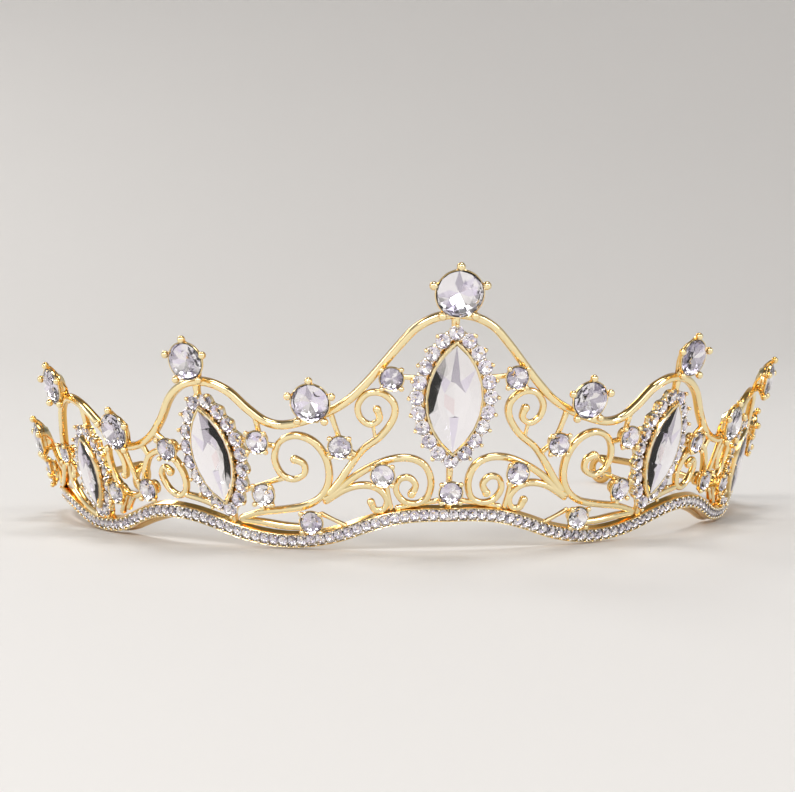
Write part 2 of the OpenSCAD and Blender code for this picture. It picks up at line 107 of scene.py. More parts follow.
# each scroll's rows, as for the rail
SCROLLS = [
    [(31.5, 5.2), (28.2, 6.3, 1.05), (24.5, 6.9, 1.1), (21, 7.7, 1.15), (18.6, 9.5, 1.15),
     (17.4, 12.4, 1.15), (17.7, 16, 1.15), (19.4, 18.8, 1.15), (22, 19.8, 1.1), (24.4, 18.5),
     (25.3, 15.7), (24.5, 13.1), (22.7, 12.2, 0.95), (21, 13.2, 0.95), (21, 14.9),
     (22.3, 15.7, 1.2)],
    [(17.4, 9.9, 1.2), (16, 11.8, 1.2), (14.2, 14.8, 1.15), (12.3, 17.6, 1.1), (9.8, 19.9, 1.1),
     (8.1, 22.8, 1.1), (8, 25.3, 1.1), (9.6, 27.1, 1.05), (11.6, 27), (12.9, 25),
     (12.6, 22.9, 0.95), (11.3, 21.8, 0.95), (10, 22.7), (10.3, 24.4, 1.2)],
    [(18, 9, 1.2), (16.4, 10.2, 1.15), (14, 12.6, 1.15), (11.2, 14.6, 1.1), (8.3, 15.9, 1.1),
     (5.6, 16, 1.1), (3.6, 14.7, 1.1), (2.7, 12, 1.1), (3.2, 9.3, 1.05), (4.8, 8.2),
     (6.6, 8.6), (7.7, 10.4, 0.95), (7.3, 12.3, 0.95), (5.9, 12.7), (4.9, 11.4),
     (5.5, 9.9, 1.2)],
    [(18, 8.6, 1.1), (15, 10.7, 1.1), (12.4, 11.4, 1.1), (10.3, 10.8, 1.1), (9.1, 9),
     (9.5, 7.3, 0.95), (10.8, 7.1), (11.4, 8.5, 1.15)],
    [(53.8, 7.8), (51.4, 7.7, 1.05), (49.4, 9.2, 1.1), (48.6, 12.2, 1.1), (47.1, 15, 1.1),
     (44.6, 16.1, 1.1), (42.2, 14.9, 1.1), (40.8, 12.2, 1.05), (40.9, 9.5), (42.4, 8.4),
     (44.2, 9.5), (45.2, 11.9, 0.95), (44.4, 13.3, 0.95), (43.3, 12.5, 1.2)],
    [(53.8, 7.8, 1.1), (55.8, 9.8, 1.1), (56.8, 12.6, 1.1), (56.7, 15.2, 1.1), (55.3, 16.5),
     (53.9, 15.6), (53.1, 13.2), (53.5, 11.2, 1.2)],
    [(64.6, 3, 1.1), (68.4, 4.2, 1.1), (71.5, 6.5, 1.1), (72.8, 9.4), (71.8, 11.8, 0.9),
     (70.3, 11.2, 0.9), (70.6, 9.7, 1.3)],
    [(76, 9.6, 1.1), (79, 11, 1.1), (82, 13.6, 1.1)],
]
# leaves above the band, either side of the pointed oval
LEAVES = [
    [(31.4, 4.8), (28, 4.5, 1.1), (24.4, 4, 1.1), (21.2, 3.9, 0.9)],
    [(40.8, 8.6), (38, 8, 1.1), (35, 6.8)],
]
# brace behind the band's lower edge: angle, height, radius
BRACE = [(46, 4.3, 0.65), (50, 3.1, 0.65), (55, 1.3, 0.65), (59, 0.6, 0.65)]
BRACE_IN = 1.45
# links: from angle and height to angle and height, radius as a share
LINKS = [
    (4.6, 29.6, 8.2, 30, 0.9), (15.4, 18.4, 17.7, 16.2, 0.9), (15.4, 18.4, 13.2, 16.4, 0.9),
    (15.4, 18.4, 16.7, 23.6, 0.9), (24.8, 17.8, 30.6, 19, 0.9), (27.2, 19, 27.6, 22.8, 0.9),
    (24, 12.5, 31.2, 9.8, 0.9), (9.2, 12, 8.5, 7.5, 0.8), (18.8, 6.3, 15.2, 4.3, 0.7),
    (39.4, 16.8, 42.2, 17, 0.9), (42.2, 17, 45, 19.2, 0.9), (47.2, 15, 48.2, 16.8, 0.9),
    (52.7, 16.2, 50.6, 9.2, 0.9), (54, 7.8, 56.3, 4.4, 1), (66.2, 13.6, 69.2, 14, 0.9),
    (69.2, 14, 72.6, 15.2, 0.9), (85, 6.4, 85.2, 9, 1), (89.6, 6, 90, 7, 1),
    (10.9, 21.6, 10.6, 19.4, 0.6), (27.4, 9, 28, 6.6, 0.9), (7.6, 7.5, 1.6, 8.7, 0.8),
    (52.2, 7.7, 54.4, 5.2, 0.9),
]
# stems, on both sides: angle, height from, height to, radius
STEMS = [
    (0, 36.5, 40.2, 0.9), (0, 7, 15.6, 0.7), (36.5, 25.2, 28.2, 0.8), (33.2, 4.3, 7.6, 0.8),
    (62.2, 18, 22.8, 0.8), (61.2, 2.8, 5.2, 0.8),
]
TOP_ROW = (44.2, 3.9)  # the top stone's height and drop, as for the crest stones
CENTRE_ACCENT = 10.5
# crest stones: angle, height, how far below the stone its basket meets the rail
CREST = [
    (19, 26.1, 3.4), (36.1, 32.7, 4.2), (51.6, 19.8, 3.2), (66, 26.9, 3), (82, 15.8, 2.4),
]
# accent stones: angle, height
ACCENTS = [
    (8.3, 30), (15.4, 18.4), (9.6, 13.6), (20.1, 5.3), (27.2, 19), (27, 9.9), (42.2, 17),
    (47.4, 9.5), (55, 8.3), (69.2, 14), (85.2, 9.9), (90.2, 7.6),
]
# pointed ovals: angle, height, half width, half length, tilt, halo stones, and the first
# halo stone's place as a share of a step from the upper tip
OVALS = [
    (0, 26.5, 4.5, 9.3, 0, 20, 0), (34.5, 16.3, 3.5, 8.1, 9.8, 17, 0.5),
    (61.7, 11.3, 3, 6, 3, 14, 0.5),
]
ARM = SimpleNamespace(start=64, end=96, wire_start=91, wire_end=127, tilt=math.radians(3.4))


def length(name, description, default):
    """A length that a user can change, stated here in millimetres."""
    return FloatProperty(
        name=name, description=description, default=default * MM, min=0, precision=5,
        subtype="DISTANCE", unit="LENGTH")


def colour(name, description, default):
    return FloatVectorProperty(
        name=name, description=description, default=default, size=3, min=0, max=1,
        subtype="COLOR")


class DiademSizes(bpy.types.PropertyGroup):
    """Sizes of the metal and the stones."""
    rail_radius: length("Rail", "Half the width of the top rail", 0.72)
    scroll_radius: length("Scrolls", "Half the width of a scroll wire", 0.55)
    band_height: length("Band height", "Height of the base band", 2.8)
    band_back: length("Band back", "How far the band reaches behind the pattern", 1.1)
    top_stone: length("Top stone", "Diameter of the top stone", 7.8)
    crest_stone: length("Crest stones", "Diameter of the other crest stones", 6.4)
    accent_stone: length("Accent stones", "Diameter of the accent stones", 3.8)
    halo_stone: length("Halo stones", "Diameter of the halo stones", 2.5)
    band_stone: length("Band stones", "Diameter of the band stones", 1.62)
    claw_ball: length("Claw ball", "Radius of the ball on a crest claw", 0.68)
    accent_ball: length("Accent ball", "Radius of the ball on an accent claw", 0.46)
    halo_ball: length("Halo ball", "Radius of the ball outside a halo stone", 0.34)
    grain: length("Grain", "Radius of the grains between small stones", 0.26)
    arm_height: length("Arm height", "Height of the arm strip", 2.4)
    arm_thickness: length("Arm thickness", "Thickness of the arm strip", 0.8)
    wire_radius: length("End wire", "Radius of the end wire", 0.75)
    loop_radius: length("End loop", "Radius of the end loop, to the middle of its wire", 2.4)
    table_share: FloatProperty(
        name="Table", description="Table of a round stone as a share of its diameter",
        default=0.54, min=0.3, max=0.8, subtype="FACTOR")
    steps: IntProperty(
        name="Steps", description="Steps of a wire between two rows of its table",
        default=6, min=1, max=16)


class DiademColours(bpy.types.PropertyGroup):
    """Colours of the metal, the stones and the stage."""
    pale_gold: colour("Pale gold", "Plating on the faces that look forward", (1.0, 0.855, 0.51))
    # painted shade: the gold finishes put this colour on side walls, and partly on back faces, by
    # how far they turn from the facing, in place of their shade
    amber_painted_shade: colour("Amber gold", "Plating on side walls and in hollows", (0.87, 0.51, 0.13))
    white_plate: colour("White plating", "Plating of the grains and seats between small stones",
                        (0.93, 0.90, 0.90))
    arm_gold: colour("Arm gold", "Satin plating of the head arms", (0.72, 0.50, 0.24))
    glass: colour("Glass", "Body of the stones", (0.985, 0.975, 1.0))
    foil: colour("Foil", "Bright foil behind the stones", (0.98, 0.975, 0.99))
    # the lilac, grey and rose foils also serve as painted reflections on chosen facets of the
    # pointed ovals
    foil_lilac: colour("Lilac foil", "Foil of the cooler facets", (0.84, 0.81, 0.91))
    foil_rose: colour("Rose foil", "Foil of the warmer facets", (0.96, 0.87, 0.88))
    foil_grey: colour("Grey foil", "Foil of the darker facets", (0.55, 0.53, 0.60))
    floor: colour("Floor", "Floor and surround", (0.78, 0.76, 0.74))


def sizes():
    """The sizes of the scene in millimetres, and its shares and counts."""
    held = bpy.context.scene.diadem_sizes
    plain = ("table_share", "steps")
    return SimpleNamespace(**{
        name: getattr(held, name) if name in plain else getattr(held, name) / MM
        for name in DiademSizes.__annotations__})


def colours():
    held = bpy.context.scene.diadem_colours
    return SimpleNamespace(**{
        name: (*getattr(held, name), 1.0) for name in DiademColours.__annotations__})


# Places on the crown


def spot(angle, height, out=0.0):
    """A place on the crown, which may stand out from the pattern."""
    a = math.radians(angle)
    reach = RING + height * math.tan(LEAN)
    proud = out * math.cos(LEAN)
    return Vector((
        (reach + proud) * math.sin(a),
        RING_BACK - (RING_DEPTH * reach + proud) * math.cos(a),
        height - out * math.sin(LEAN)))


def facing(angle):
    a = math.radians(angle)
    return Vector((
        math.cos(LEAN) * math.sin(a), -math.cos(LEAN) * math.cos(a), -math.sin(LEAN)))


def seat(angle, height, out=0.0, tilt=0.0):
    """The axes of a setting: across, up the crown, and facing out."""
    a = math.radians(angle)
    across = Vector((math.cos(a), math.sin(a), 0))
    face = facing(angle)
    axes = Matrix((across, face.cross(across), face)).transposed().to_4x4()
    return (Matrix.Translation(spot(angle, height, out)) @ axes
            @ Matrix.Rotation(math.radians(-tilt), 4, "Z"))


def bend(p, q, r, s, t):
    return [
        0.5 * (2 * b + (c - a) * t + (2 * a - 5 * b + 4 * c - d) * t * t
               + (3 * b - a - 3 * c + d) * t ** 3)
        for a, b, c, d in zip(p, q, r, s)]


def smooth(rows, steps):
    """A smooth line through rows, with a number of steps between two rows."""
    rows = [(*row, 1)[:3] for row in rows]
    last = len(rows) - 1
    line = [
        bend(rows[max(i - 1, 0)], rows[i], rows[i + 1], rows[min(i + 2, last)], j / steps)
        for i in range(last) for j in range(steps)]
    return line + [list(rows[last])]


def between(p, q, part):
    return tuple(a + (b - a) * part for a, b in zip(p, q))


def both_sides(rows):
    return [(-row[0], *row[1:]) for row in reversed(rows[1:])] + [tuple(r) for r in rows]


# Outlines and sections


def round_section(sides):
    turns = [2 * math.pi * (i + 0.5) / sides for i in range(sides)]
    return [(math.cos(t), math.sin(t)) for t in turns]


def wire_section(sides):
    """A wire with a round front and flat walls, one wide; rows: up, out."""
    front = [math.pi * i / (sides - 1) for i in range(sides)]
    return [(math.cos(t), 0.12 + 0.88 * math.sin(t)) for t in front] + [
        (-1, -0.7), (-0.8, -0.95), (0.8, -0.95), (1, -0.7)]


def ring_line(radius, sides, start=90.0, z=0.0):
    turns = [math.radians(start + 360 * i / sides) for i in range(sides)]
    return [Vector((radius * math.cos(t), radius * math.sin(t), z)) for t in turns]


def oval_line(w, l, n):
    """A pointed oval with n points a side, from its lower tip up the right side."""
    big = (l * l + w * w) / (2 * w)
    turn = math.asin(l / big)
    line = []
    for side in (1, -1):
        for i in range(n):
            t = turn * (2 * i / n - 1)
            line.append((side * (big * math.cos(t) - big + w), side * big * math.sin(t)))
    return line


def halo_point(w, l, turn):
    t = math.radians(turn)
    x, y = math.sin(t), math.cos(t)
    return (w * math.copysign(abs(x) ** HALO_BOW, x), l * math.copysign(abs(y) ** HALO_BOW, y))


def halo_places(oval, start, count=None):
    """Places spread evenly on the halo line: the place and the way outward."""
    w, l = oval[2] + HALO_GROW[0], oval[3] + HALO_GROW[1]
    count = count or oval[5]
    step = 6
    turns = range(0, 361, step)
    points = [halo_point(w, l, t) for t in turns]
    sums = [0.0]
    for p, q in zip(points, points[1:]):
        sums.append(sums[-1] + math.dist(p, q))
    places = []
    for i in range(count):
        goal = (i + start) * sums[-1] / count % sums[-1]
        k = max(j for j in range(len(sums) - 1) if sums[j] <= goal)
        turn = turns[k] + step * (goal - sums[k]) / (sums[k + 1] - sums[k])
        x, y = halo_point(w, l, turn)
        before, after = halo_point(w, l, turn - 4), halo_point(w, l, turn + 4)
        way = Vector((after[0] - before[0], after[1] - before[1], 0)).normalized()
        places.append((Vector((x, y, 0)), UP.cross(way)))
    return places


# Making meshes


class Casting:
    """The points and faces of one piece while it is made, in millimetres."""

    def __init__(self):
        self.points, self.faces, self.slots = [], [], []

    def skin(self, rings, ends=(True, True), loop=False, slot=0):
        """Faces through rings that turn left seen from the last; a lone point closes an end."""
        firsts = []
        for ring in rings:
            firsts.append(len(self.points))
            self.points.extend(Vector(p) for p in ring)
        pairs = [(i, i + 1) for i in range(len(rings) - 1)] + [(len(rings) - 1, 0)] * loop
        for i, k in pairs:
            a, b, n = firsts[i], firsts[k], max(len(rings[i]), len(rings[k]))
            for j in range(n):
                m = (j + 1) % n
                if len(rings[i]) == 1:
                    self.face((a, b + m, b + j), slot)
                elif len(rings[k]) == 1:
                    self.face((a + j, a + m, b), slot)
                else:
                    self.face((a + j, a + m, b + m, b + j), slot)
        if ends[0] and not loop and len(rings[0]) > 1:
            self.face(tuple(firsts[0] + j for j in reversed(range(len(rings[0])))), slot)
        if ends[1] and not loop and len(rings[-1]) > 1:
            self.face(tuple(firsts[-1] + j for j in range(len(rings[-1]))), slot)

    def face(self, corners, slot=0):
        self.faces.append(corners)
        self.slots.append(slot)

    def add(self, other, matrix=None):
        first = len(self.points)
        self.points.extend(matrix @ p if matrix else p.copy() for p in other.points)
        self.faces.extend(tuple(first + c for c in f) for f in other.faces)
        self.slots.extend(other.slots)
        return self

    def mirrored(self):
        other = Casting()
        other.points = [Vector((-p.x, p.y, p.z)) for p in self.points]
        other.faces = [tuple(reversed(f)) for f in self.faces]
        other.slots = list(self.slots)
        return other

    def pair(self):
        return self.add(self.mirrored())

    def run(self, rows, section, size=1.0, ends=(True, True), out_by=0.0):
        """Metal along rows of angle, height and share; an end that is True is rounded."""
        last = len(rows) - 1
        places = [spot(row[0], row[1], out_by) for row in rows]
        stations = []
        for i, row in enumerate(rows):
            way = (places[min(i + 1, last)] - places[max(i - 1, 0)]).normalized()
            up = facing(row[0]).cross(way).normalized()
            stations.append((places[i], way, up, way.cross(up), row[2] * size))
        self.sweep(stations, section, ends)

    def sweep(self, stations, section, ends=(True, True), slot=0):
        if ends[0]:
            stations = [domed(stations[0], -s) for s in (0.9, 0.55)] + stations
        if ends[1]:
            stations = stations + [domed(stations[-1], s) for s in (0.55, 0.9)]
        self.skin([
            [at + share * (u * up + o * out) for u, o in section]
            for at, _, up, out, share in stations], slot=slot)

    def wire(self, points, radii, sides=8, slot=0):
        """A round wire through points, with a radius at each."""
        last = len(points) - 1
        side, stations = None, []
        for i, point in enumerate(points):
            way = (points[min(i + 1, last)] - points[max(i - 1, 0)]).normalized()
            start = side if side is not None else way.orthogonal()
            side = (start - way * start.dot(way)).normalized()
            stations.append((point, way, side, way.cross(side), radii[i]))
        self.sweep(stations, round_section(sides), slot=slot)

    def ball(self, middle, radius, sides):
        levels = sides // 2
        turns = [math.pi * (i / levels - 0.5) for i in range(1, levels)]
        rings = [[Vector((0, 0, -radius))]]
        rings += [ring_line(radius * math.cos(t), sides, 0, radius * math.sin(t)) for t in turns]
        rings.append([Vector((0, 0, radius))])
        self.skin([[middle + p for p in ring] for ring in rings])


def domed(station, share):
    """A station beyond an end, to round it off; share is how far, and below 0 backward."""
    at, way, up, out, size = station
    return at + way * size * share, way, up, out, size * math.sqrt(1 - share * share)


def add_object(name, data):
    made = bpy.data.objects.new(name, data)
    bpy.context.scene.collection.objects.link(made)
    return made


def make_piece(name, casting, coats, nodes=("crown_frame",), sharp=SHARP_ANGLE):
    """Turns a casting into an object that stands for CAD nodes; sharp 0 leaves it faceted."""
    mesh = bpy.data.meshes.new(name)
    mesh.from_pydata([p * MM for p in casting.points], [], casting.faces)
    for coat in coats:
        mesh.materials.append(coat)
    mesh.polygons.foreach_set("material_index", casting.slots)
    mesh.polygons.foreach_set("use_smooth", [sharp > 0] * len(mesh.polygons))
    if sharp:
        mesh.set_sharp_from_angle(angle=math.radians(sharp))
    mesh.validate()
    # forward: how far each normal looks along the crown's facing; the gold finishes paint shade
    # from it on faces that turn away
    forward = mesh.attributes.new("forward", "FLOAT", "POINT")
    forward.data.foreach_set("value", [
        facing(math.degrees(math.atan2(v.co.x, RING_BACK * MM - v.co.y))).dot(n.vector)
        for v, n in zip(mesh.vertices, mesh.vertex_normals)])
    piece = add_object(name, mesh)
    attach(piece, "root")
    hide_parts(*nodes)


def make_stones(node, casting):
    """Makes the stones of one node, mirrored on the left side."""
    if node.startswith("left"):
        casting = casting.mirrored()
    make_piece("cut_" + node, casting, finishes().stone, [node], sharp=0)


def make_pair(name, casting, coats):
    """Makes the left piece, mirrored, and the right one."""
    make_piece("left_" + name, casting.mirrored(), coats)
    make_piece("right_" + name, casting, coats)


# Materials


class Socket:
    """A node's output. Arithmetic on it adds Math nodes."""

    def __init__(self, finish, output):
        self.finish, self.output = finish, output

    def math(self, operation, first, second):
        return self.finish.add("ShaderNodeMath", {"operation": operation}, {0: first, 1: second})

    def __add__(self, other):
        return self.math("ADD", self, other)

    __radd__ = __add__

    def __mul__(self, other):
        return self.math("MULTIPLY", self, other)

    __rmul__ = __mul__

    def __sub__(self, other):
        return self.math("SUBTRACT", self, other)

    def __rsub__(self, other):
        return self.math("SUBTRACT", other, self)


class Finish:
    """The node tree of one material."""

    def __init__(self, name):
        self.material = bpy.data.materials.new(name)
        self.material.use_nodes = True
        self.tree = self.material.node_tree
        self.shader = self.tree.nodes["Principled BSDF"]

    def add(self, kind, settings=None, sockets=None, output=0):
        """Adds a node: its settings first, then the values or links of its sockets."""
        node = self.tree.nodes.new(kind)
        for name, value in (settings or {}).items():
            if name == "stops":
                while len(node.color_ramp.elements) < len(value):
                    node.color_ramp.elements.new(0.5)
                for stop, (place, shade) in zip(node.color_ramp.elements, value):
                    stop.position, stop.color = place, shade
            else:
                setattr(node, name, value)
        for name, value in (sockets or {}).items():
            self.feed(node.inputs[name], value)
        return Socket(self, node.outputs[output])

    def feed(self, socket, value):
        if isinstance(value, Socket):
            self.tree.links.new(value.output, socket)
        else:
            socket.default_value = value

    def set(self, **sockets):
        for name, value in sockets.items():
            self.feed(self.shader.inputs[name.replace("_", " ")], value)

    def noise(self, scale, detail=2.0, rough=0.5):
        return self.add("ShaderNodeTexNoise", {}, {
            "Vector": self.add("ShaderNodeTexCoord", output="Object"),
            "Scale": scale, "Detail": detail, "Roughness": rough})

    def ramp(self, value, *stops):
        grey = [(place, (shade, shade, shade, 1)) for place, shade in stops]
        return self.add("ShaderNodeValToRGB", {"stops": grey}, {"Fac": value})

    def mix(self, share, first, second):
        """Inputs 6 and 7 and output 2 of the node are its colours."""
        return self.add("ShaderNodeMix", {"data_type": "RGBA"}, {
            "Factor": share, 6: first, 7: second}, output=2)

    def uneven(self, shade, scale, gain):
        """The shade, drifting to one that is brighter or darker by a gain."""
        other = tuple(min(1.0, c * gain) for c in shade[:3]) + (1.0,)
        return self.mix(self.noise(scale), shade, other)

    def bump(self, height, strength, distance):
        return self.add("ShaderNodeBump", {}, {
            "Height": height, "Strength": strength, "Distance": distance})


def gold_finish(name, pale, amber, low, high):
    """Polished plating: pale in front, less so behind, amber on side walls as painted shade,
    softly uneven.
    """
    finish = Finish(name)
    forward = finish.add("ShaderNodeAttribute", {"attribute_name": "forward"}, output="Fac")
    drift = finish.noise(220, 3)
    # painted shade: faces that turn sideways from the facing, and in part back faces, get the
    # darker colour in place of their shade and the darker metal they reflect
    painted_shade_mask = finish.ramp(
        0.5 + 0.5 * forward + 0.125 * (drift - 0.5),
        (0.0, 0.65), (0.34, 0.0), (0.5, 0.0), (0.65, 0.55), (0.875, 1.0))
    cast = finish.noise(1500, 4, 0.6)
    finish.set(
        Base_Color=finish.mix(painted_shade_mask, amber, pale),
        Metallic=1.0,
        Roughness=low + (high - low) * finish.ramp(cast, (0.3, 0.0), (0.75, 1.0)),
        Normal=finish.bump(finish.noise(900, 3), 0.12, 0.0002))
    return finish.material


def foil_finish(name, shade):
    """Mirror foil behind a stone."""
    finish = Finish(name)
    finish.set(Base_Color=finish.uneven(shade, 700, 1.08), Metallic=1.0, Roughness=0.06)
    return finish.material


def glass_finish(name, shade):
    finish = Finish(name)
    finish.set(
        Base_Color=shade, Roughness=0.0, IOR=1.5, Transmission_Weight=1.0,
        Normal=finish.bump(finish.noise(260, 1), 0.02, 0.0002))
    return finish.material


def floor_finish(name, shade):
    finish = Finish(name)
    finish.set(
        Base_Color=finish.uneven(shade, 3, 0.97), Roughness=0.62,
        Normal=finish.bump(finish.noise(1800, 2), 0.05, 0.0001))
    return finish.material


def finishes():
    """The materials of the diadem, made once."""
    held = bpy.data.materials
    if "crown_gold" not in held:
        shades = colours()
        gold_finish("crown_gold", shades.pale_gold, shades.amber_painted_shade, 0.07, 0.2)
        gold_finish("white_plate", shades.white_plate, shades.pale_gold, 0.08, 0.22)
        gold_finish("arm_gold", shades.arm_gold, shades.amber_painted_shade, 0.14, 0.3)
        glass_finish("stone_glass", shades.glass)
        for foil in FOILS:
            foil_finish("stone_" + foil, getattr(shades, foil))
    return SimpleNamespace(
        gold=[held["crown_gold"]],
        two=[held["crown_gold"], held["white_plate"]],
        arm=[held["arm_gold"]],
        stone=[held["stone_" + name] for name in ("glass", *FOILS)])


# Stones


def cut_stone(outline, crown, girdle, pavilion, table, keel, shades, pattern=None):
    """A cut stone on its seat. outline gives the girdle's place at a share of a turn; crown,
    girdle and pavilion are heights, table and keel shares of the outline. Glass lies above and
    foils 1 to 4 below. pattern: the foils of the outer and the inner facets from the lower tip
    on, set facet by facet as painted reflections; without it they are drawn."""
    stone = Casting()
    star_up, low_in, low_down = 0.55, 0.42, 0.62

    def ring(count, offset, share, z):
        return [Vector((x * share, y * share, z)) for x, y in (
            outline(((i + offset) / count) % 1.0) for i in range(count))]

    girdle_top, girdle_low = ring(16, 0, 1.0, girdle), ring(16, 0, 1.0, 0.0)
    tables = ring(8, 0, table, girdle + crown)
    stars = ring(8, 0.5, (table + 1) / 2 * 0.97, girdle + star_up * crown)
    keels = [Vector((0, outline(i / 8)[1] * keel, -pavilion)) for i in range(8 if keel else 1)]
    lows = ring(8, 0.5, low_in, -low_down * pavilion)
    stone.points = girdle_top + girdle_low + tables + stars + lows + keels
    top, low, tab, star, deep, end = 0, 16, 32, 40, 48, 56
    stone.face(tuple(tab + k for k in range(8)))
    for k in range(8):
        before, m, g = (k - 1) % 8, (k + 1) % 8, 2 * k
        stone.face((tab + k, star + k, tab + m))
        stone.face((tab + k, star + before, top + g, star + k))
        stone.face((star + k, top + g, top + g + 1))
        stone.face((star + k, top + g + 1, top + (g + 2) % 16))
        shade = shades.choice((1, 1, 1, 1, 2, 2, 3))
        other = shades.choice((1, 1, 1, 1, 2, 3))
        inner = shade
        # painted reflections: the pattern gives each facet its foil
        if pattern:
            shade, inner = pattern[0][k], pattern[1][k]
            other = shades.choice((1, 1, 1, shade))
        stone.face((low + g, deep + before, deep + k), shade)
        if keel:
            stone.face((deep + before, end + k, deep + k), inner)
            stone.face((deep + k, end + k, end + m), inner)
        else:
            stone.face((deep + before, end, deep + k), shade)
        stone.face((low + g + 1, low + g, deep + k), other)
        stone.face((low + (g + 2) % 16, low + g + 1, deep + k), other)
    for j in range(16):
        m = (j + 1) % 16
        stone.face((low + j, low + m, top + m, top + j), 2)
    return stone


def circle(radius):
    return lambda share: (
        radius * math.cos(2 * math.pi * share), radius * math.sin(2 * math.pi * share))


def pointed(w, l):
    """The pointed oval as a function of a share of its round, from its lower tip."""
    line = oval_line(w, l, 48)

    def at(share):
        place = share * len(line)
        i = int(place) % len(line)
        part = place - int(place)
        return between(line[i], line[(i + 1) % len(line)], part)

    return at


def brilliant(size, table, depth, shades):
    radius = size / 2
    return cut_stone(
        circle(radius), ROUND_CROWN * size, ROUND_GIRDLE * size, depth * size, table, 0, shades)


# Settings


def claw_setting(radius, seat_height, ball, claws, turn, foot, drop, reach, rise):
    """A cup with ribs that rise into claws with ball ends. foot: the radius where it meets the
    wire, drop below the stone; reach and rise: the balls' place beyond the girdle."""
    cup = Casting()
    sides = claws * 8

    def ring(r, z, rib=0.0, shift=0.0):
        points = []
        for i in range(sides):
            t = 2 * math.pi * i / sides
            wave = max(0.0, math.cos(claws * t)) ** 2
            r_here = r * (1 + rib * wave)
            a = t + math.radians(turn)
            points.append(Vector((r_here * math.cos(a), r_here * math.sin(a) - shift, z)))
        return points

    low = seat_height - 0.62 * radius
    cup.skin([
        ring(foot, -0.45, 0, drop), ring(foot * 1.05, 0.1, 0, drop * 0.97),
        ring(0.4 * radius, 0.25, 0.05, drop * 0.55),
        ring(0.54 * radius, 0.45, 0.06, drop * 0.18),
        ring(0.68 * radius, low + 0.25 * radius, 0.08),
        ring(0.9 * radius, seat_height - 0.5, 0.06),
        ring(radius + 0.14, seat_height - 0.38, 0.04),
        ring(radius + 0.24, seat_height - 0.12, 0.02),
        ring(radius + 0.24, seat_height + 0.06, 0.02),
        ring(radius + 0.15, seat_height + 0.16),
        ring(radius + 0.05, seat_height + 0.08),
        ring(radius + 0.03, seat_height - 0.15),
        ring(0.55 * radius, low),
        [Vector((0, 0, low - 0.1))]])
    gallery = ring_line(0.8 * radius, sides, 0, low + 0.32 * radius)
    thick = 0.34 * ball
    cup.skin([
        [p + thick * (math.cos(t) * Vector((p.x, p.y, 0)).normalized() + math.sin(t) * UP)
         for p in reversed(gallery)]
        for t in (math.pi * k / 3 for k in range(6))], loop=True)
    wide = 0.58 * ball
    down = Vector((0, -1, 0))
    for k in range(claws):
        a = math.radians(turn + 360 * k / claws)
        way = Vector((math.cos(a), math.sin(a), 0))
        points = [
            way * foot * 0.9 + down * drop * 0.97 + UP * 0.05,
            way * (radius * 0.5) + down * drop * 0.4 + UP * 0.4,
            way * (radius * 0.8) + UP * (low + 0.3 * radius),
            way * (radius + 0.14) + UP * (seat_height - 0.4),
            way * (radius + 0.3 + 0.3 * reach) + UP * (seat_height + 0.15 * rise),
            way * (radius + 0.15 + reach) + UP * (seat_height + 0.75 * rise)]
        cup.wire(points, [wide * 0.9, wide * 0.85, wide * 0.9, wide, wide, wide * 0.8], 8)
        cup.ball(way * (radius + 0.2 + reach) + UP * (seat_height + rise), ball, 14)
    return cup


def halo_setting(oval, measures):
    """The scalloped plate, collets and balls round a pointed oval, and the oval's thin wall."""
    plate = Casting()
    steps = 8
    rings = []
    for i, (p, n) in enumerate(halo_places(oval, 0, oval[5] * steps)):
        wave = 0.5 + 0.5 * math.cos(2 * math.pi * (i / steps - oval[6]))
        edge = PLATE_EDGE + SCALLOP * wave
        rings.append([
            p + n * edge + UP * PLATE_BACK, p + n * edge + UP * -0.2,
            p + n * (edge - 0.15) + UP * PLATE_FACE, p - n * PLATE_IN + UP * PLATE_FACE,
            p - n * PLATE_IN + UP * PLATE_BACK])
    plate.skin(rings, loop=True)
    lines = [[(x, y, z) for x, y in oval_line(oval[2] + grow, oval[3] + 2 * grow, WALL_POINTS)]
             for grow, z in reversed(OVAL_WALL)]
    plate.skin(list(zip(*lines)), loop=True)
    radius, ball, grain = measures.halo_stone / 2, measures.halo_ball, measures.grain
    # a collet's rows: radius, height
    collet = [
        (radius - 0.02, -0.1), (radius + 0.05, HALO_SEAT - 0.25),
        (radius + 0.05, HALO_SEAT + 0.02), (radius - 0.01, HALO_SEAT),
        (radius * 0.5, -0.02), (radius * 0.2, -0.04)]
    for p, n in halo_places(oval, oval[6]):
        plate.skin([[p + q for q in ring_line(r, 14, 0, z)] for r, z in collet], slot=1)
        plate.wire([
            p + n * (radius - 0.25), p + n * (radius + 0.02) + UP * 0.5,
            p + n * (radius + 0.08) + UP * 0.85],
            [ball * 0.95, ball * 0.85, ball * 0.7], 8)
        plate.ball(p + n * (radius + 0.1) + UP * (HALO_SEAT + 0.3), ball, 12)
    for p, n in halo_places(oval, oval[6] + 0.5):
        for out in (0.5, -0.62):
            plate.wire(
                [p + n * out, p + n * out + UP * 0.95], [grain, grain * 0.95], 8, slot=1)
    return Casting().add(plate, seat(oval[0], oval[1], 0, oval[4]))


